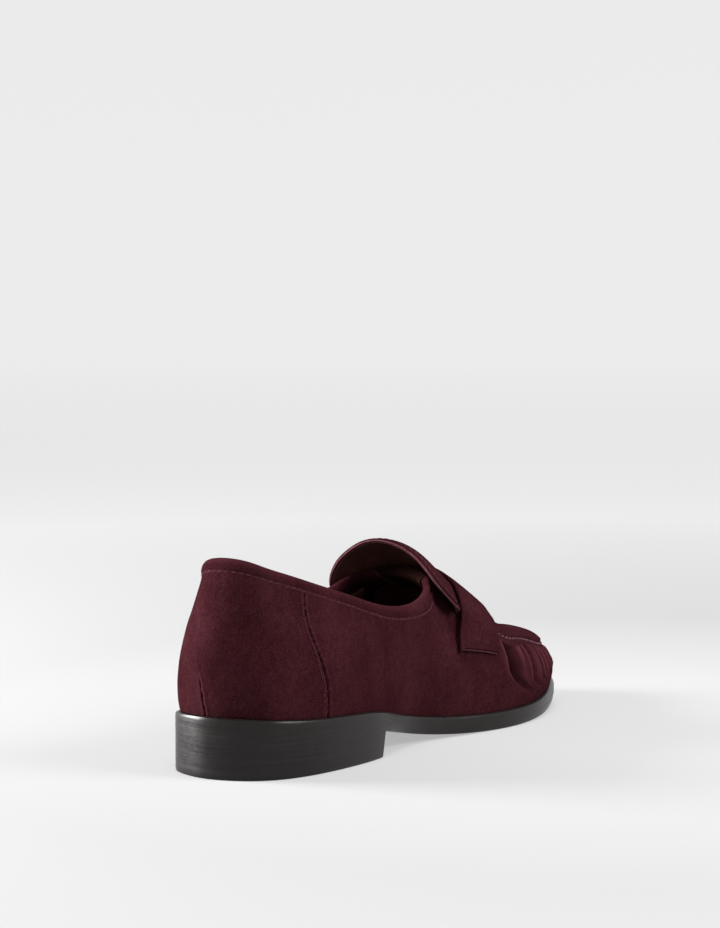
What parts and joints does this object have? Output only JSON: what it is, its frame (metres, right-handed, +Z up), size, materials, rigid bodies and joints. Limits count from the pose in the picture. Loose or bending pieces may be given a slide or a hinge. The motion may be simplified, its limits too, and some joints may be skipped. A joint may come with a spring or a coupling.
{
  "type": "penny loafer",
  "caption": "Right low slip-on loafer in suede with a rolled collar, wide saddle strap, raised tongue, gathered apron toe and stacked block heel.",
  "frame": {"origin": "on the floor under the middle of the shoe's box", "axes": "+X towards the toe, +Y towards the medial side, +Z up"},
  "size_m": [0.268, 0.0909, 0.088],
  "materials": {
    "suede": "dark burgundy suede with a short napped surface",
    "lining_leather": "smooth dark brown-black lining leather",
    "edge_leather": "black dyed and burnished sole edge, semi-gloss",
    "stack_leather": "black dyed stacked leather, semi-gloss, faint layer lines",
    "heel_rubber": "black, matte",
    "thread": "waxed burgundy sewing thread",
    "foam": "soft open-cell padding",
    "stiffener": "stiffened non-woven board",
    "insole_board": "pressed fibre board",
    "cork": "ground cork filler",
    "steel": "plain steel"
  },
  "bodies": {
    "shoe": {"apron": "suede", "apron_lining": "lining_leather", "apron_thread": "thread", "bottom_filler": "cork", "collar_band": "suede", "collar_foam": "foam", "collar_thread": "thread", "footbed_foam": "foam", "heel_counter": "stiffener", "heel_lift_1": "stack_leather", "heel_lift_2": "stack_leather", "heel_lift_3": "stack_leather", "heel_nail_1": "steel", "heel_nail_2": "steel", "heel_nail_3": "steel", "heel_nail_4": "steel", "heel_nail_5": "steel", "heel_top_piece": "heel_rubber", "insole_board": "insole_board", "outsole": "edge_leather", "quarter_lateral": "suede", "quarter_lining": "lining_leather", "quarter_medial": "suede", "shank": "steel", "sock_lining": "lining_leather", "strap": "suede", "toe_puff": "stiffener", "tongue_base": "suede", "vamp": "suede", "vamp_lining": "lining_leather", "welt": "edge_leather"},
    "tongue": {"tongue": "suede", "tongue_lining": "lining_leather"}
  },
  "joints": [
    {"name": "tongue_lift", "type": "hinge", "parent": "shoe", "child": "tongue", "pos_m": [0.026, -0.0014, 0.07], "axis": [0, 1, 0], "range_deg": [0, 30], "stiffness_Nm_per_rad": 0.02}
  ]
}
